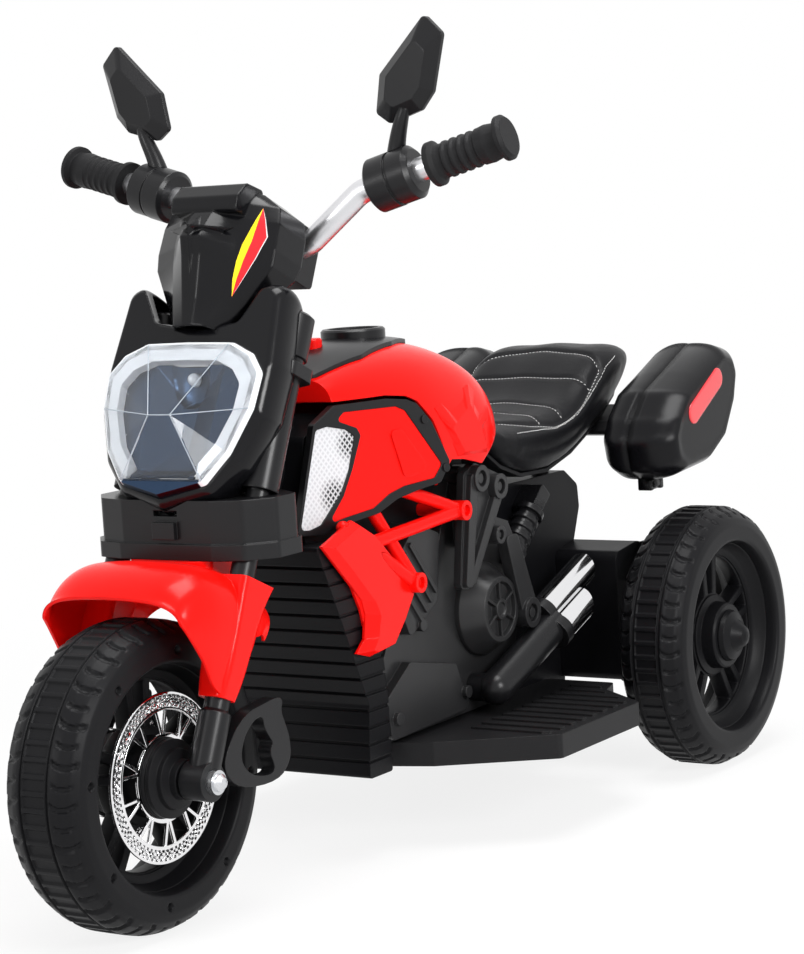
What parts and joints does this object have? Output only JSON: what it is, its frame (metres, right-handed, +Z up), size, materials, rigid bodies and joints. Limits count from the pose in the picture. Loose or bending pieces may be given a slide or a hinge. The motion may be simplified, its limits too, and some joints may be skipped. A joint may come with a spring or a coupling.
{
  "type": "kids electric motorbike",
  "caption": "Ride-on electric motorbike for a child with a steered front wheel, paired rear wheels, tank, padded seat, footboards and hinged side cases.",
  "frame": {"origin": "on the floor, midway between the front and rear axles, on the middle plane", "axes": "+X forward, +Y to the rider's left, +Z up"},
  "size_m": [1.002, 0.5016, 0.768],
  "materials": {
    "black_tyre": "satin moulded black",
    "chrome_trim": "bright plated",
    "steel": "zinc plated",
    "satin_tube": "satin silver",
    "black_matte": "fine grained black",
    "black_gloss": "gloss black",
    "red_gloss": "gloss red",
    "grip_rubber": "matte",
    "white_ring": "translucent white",
    "clear_lens": "clear moulded",
    "mirror_face": "bright film",
    "seat_vinyl": "grained black with pale stitching"
  },
  "bodies": {
    "frame": {"exhaust_tips": "chrome_trim", "rear_axle": "steel", "body_screws": "steel", "head_bushes": "black_matte", "body_shell_left": "black_matte", "body_shell_right": "black_matte", "radiator_cover": "black_matte", "side_trims": "black_matte", "engine_covers": "black_matte", "clutch_covers": "black_matte", "link_arms": "black_matte", "exhaust_pipes": "black_matte", "footboard_left": "black_matte", "footboard_right": "black_matte", "seat_base": "black_matte", "shock_springs": "black_matte", "shock_dampers": "black_matte", "axle_cover": "black_matte", "gear_motor": "black_matte", "battery": "black_matte", "bag_carrier": "black_matte", "filler_cap": "black_matte", "bag_shells": "black_gloss", "tank_console": "black_gloss", "tank_cover": "red_gloss", "side_panels": "red_gloss", "lower_fairings": "red_gloss", "trellis_frames": "red_gloss", "side_lamps": "clear_lens", "seat_cushion": "seat_vinyl"},
    "steering": {"fork_legs": "black_matte", "fork_crown": "black_matte", "steering_stem": "steel", "top_bridge": "black_matte", "brake_calipers": "black_matte", "front_fender": "red_gloss", "front_axle": "steel", "handlebar": "satin_tube", "handlebar_clamp": "black_matte", "grips": "grip_rubber", "switch_housings": "black_matte", "mirrors": "black_matte", "mirror_glass": "mirror_face", "headlight_ring": "white_ring", "headlight_lens": "clear_lens", "headlight_reflector": "mirror_face", "headlight_shroud": "black_gloss", "dash_cowl": "black_gloss"},
    "front_wheel_body": {"front_wheel": "black_tyre", "brake_discs": "chrome_trim", "front_hub_caps": "black_matte"},
    "rear_left_body": {"rear_wheel_left": "black_tyre", "rear_hub_cap_left": "black_matte"},
    "rear_right_body": {"rear_wheel_right": "black_tyre", "rear_hub_cap_right": "black_matte"},
    "lid_left_body": {"bag_lid_left": "black_gloss"},
    "lid_right_body": {"bag_lid_right": "black_gloss"},
    "pedal_body": {"accelerator_pedal": "black_matte"},
    "button_body": {"power_button": "red_gloss"}
  },
  "joints": [
    {"name": "steer", "type": "hinge", "parent": "frame", "child": "steering", "pos_m": [0.341, 0, 0.135], "axis": [-0.4226, 0, 0.9063], "range_deg": [-30, 30]},
    {"name": "front_roll", "type": "hinge", "parent": "steering", "child": "front_wheel_body", "pos_m": [0.366, 0, 0.135], "axis": [0, 1, 0], "continuous": true},
    {"name": "rear_left_roll", "type": "hinge", "parent": "frame", "child": "rear_left_body", "pos_m": [-0.366, 0.1745, 0.135], "axis": [0, 1, 0], "continuous": true},
    {"name": "rear_right_roll", "type": "hinge", "parent": "frame", "child": "rear_right_body", "pos_m": [-0.366, -0.1745, 0.135], "axis": [0, 1, 0], "continuous": true},
    {"name": "lid_left_open", "type": "hinge", "parent": "frame", "child": "lid_left_body", "pos_m": [-0.335, 0.137, 0.298], "axis": [-1, 0, 0], "range_deg": [0, 40]},
    {"name": "lid_right_open", "type": "hinge", "parent": "frame", "child": "lid_right_body", "pos_m": [-0.335, -0.137, 0.298], "axis": [1, 0, 0], "range_deg": [0, 40]},
    {"name": "pedal_press", "type": "hinge", "parent": "frame", "child": "pedal_body", "pos_m": [-0.118, -0.142, 0.1071], "axis": [0, 1, 0], "range_deg": [0, 5], "stiffness_Nm_per_rad": 2, "springref_deg": -2.86},
    {"name": "button_press", "type": "slide", "parent": "frame", "child": "button_body", "axis": [0, 0, -1], "range_m": [0, 0.0008], "stiffness_N_per_m": 300, "springref_m": -0.001}
  ]
}
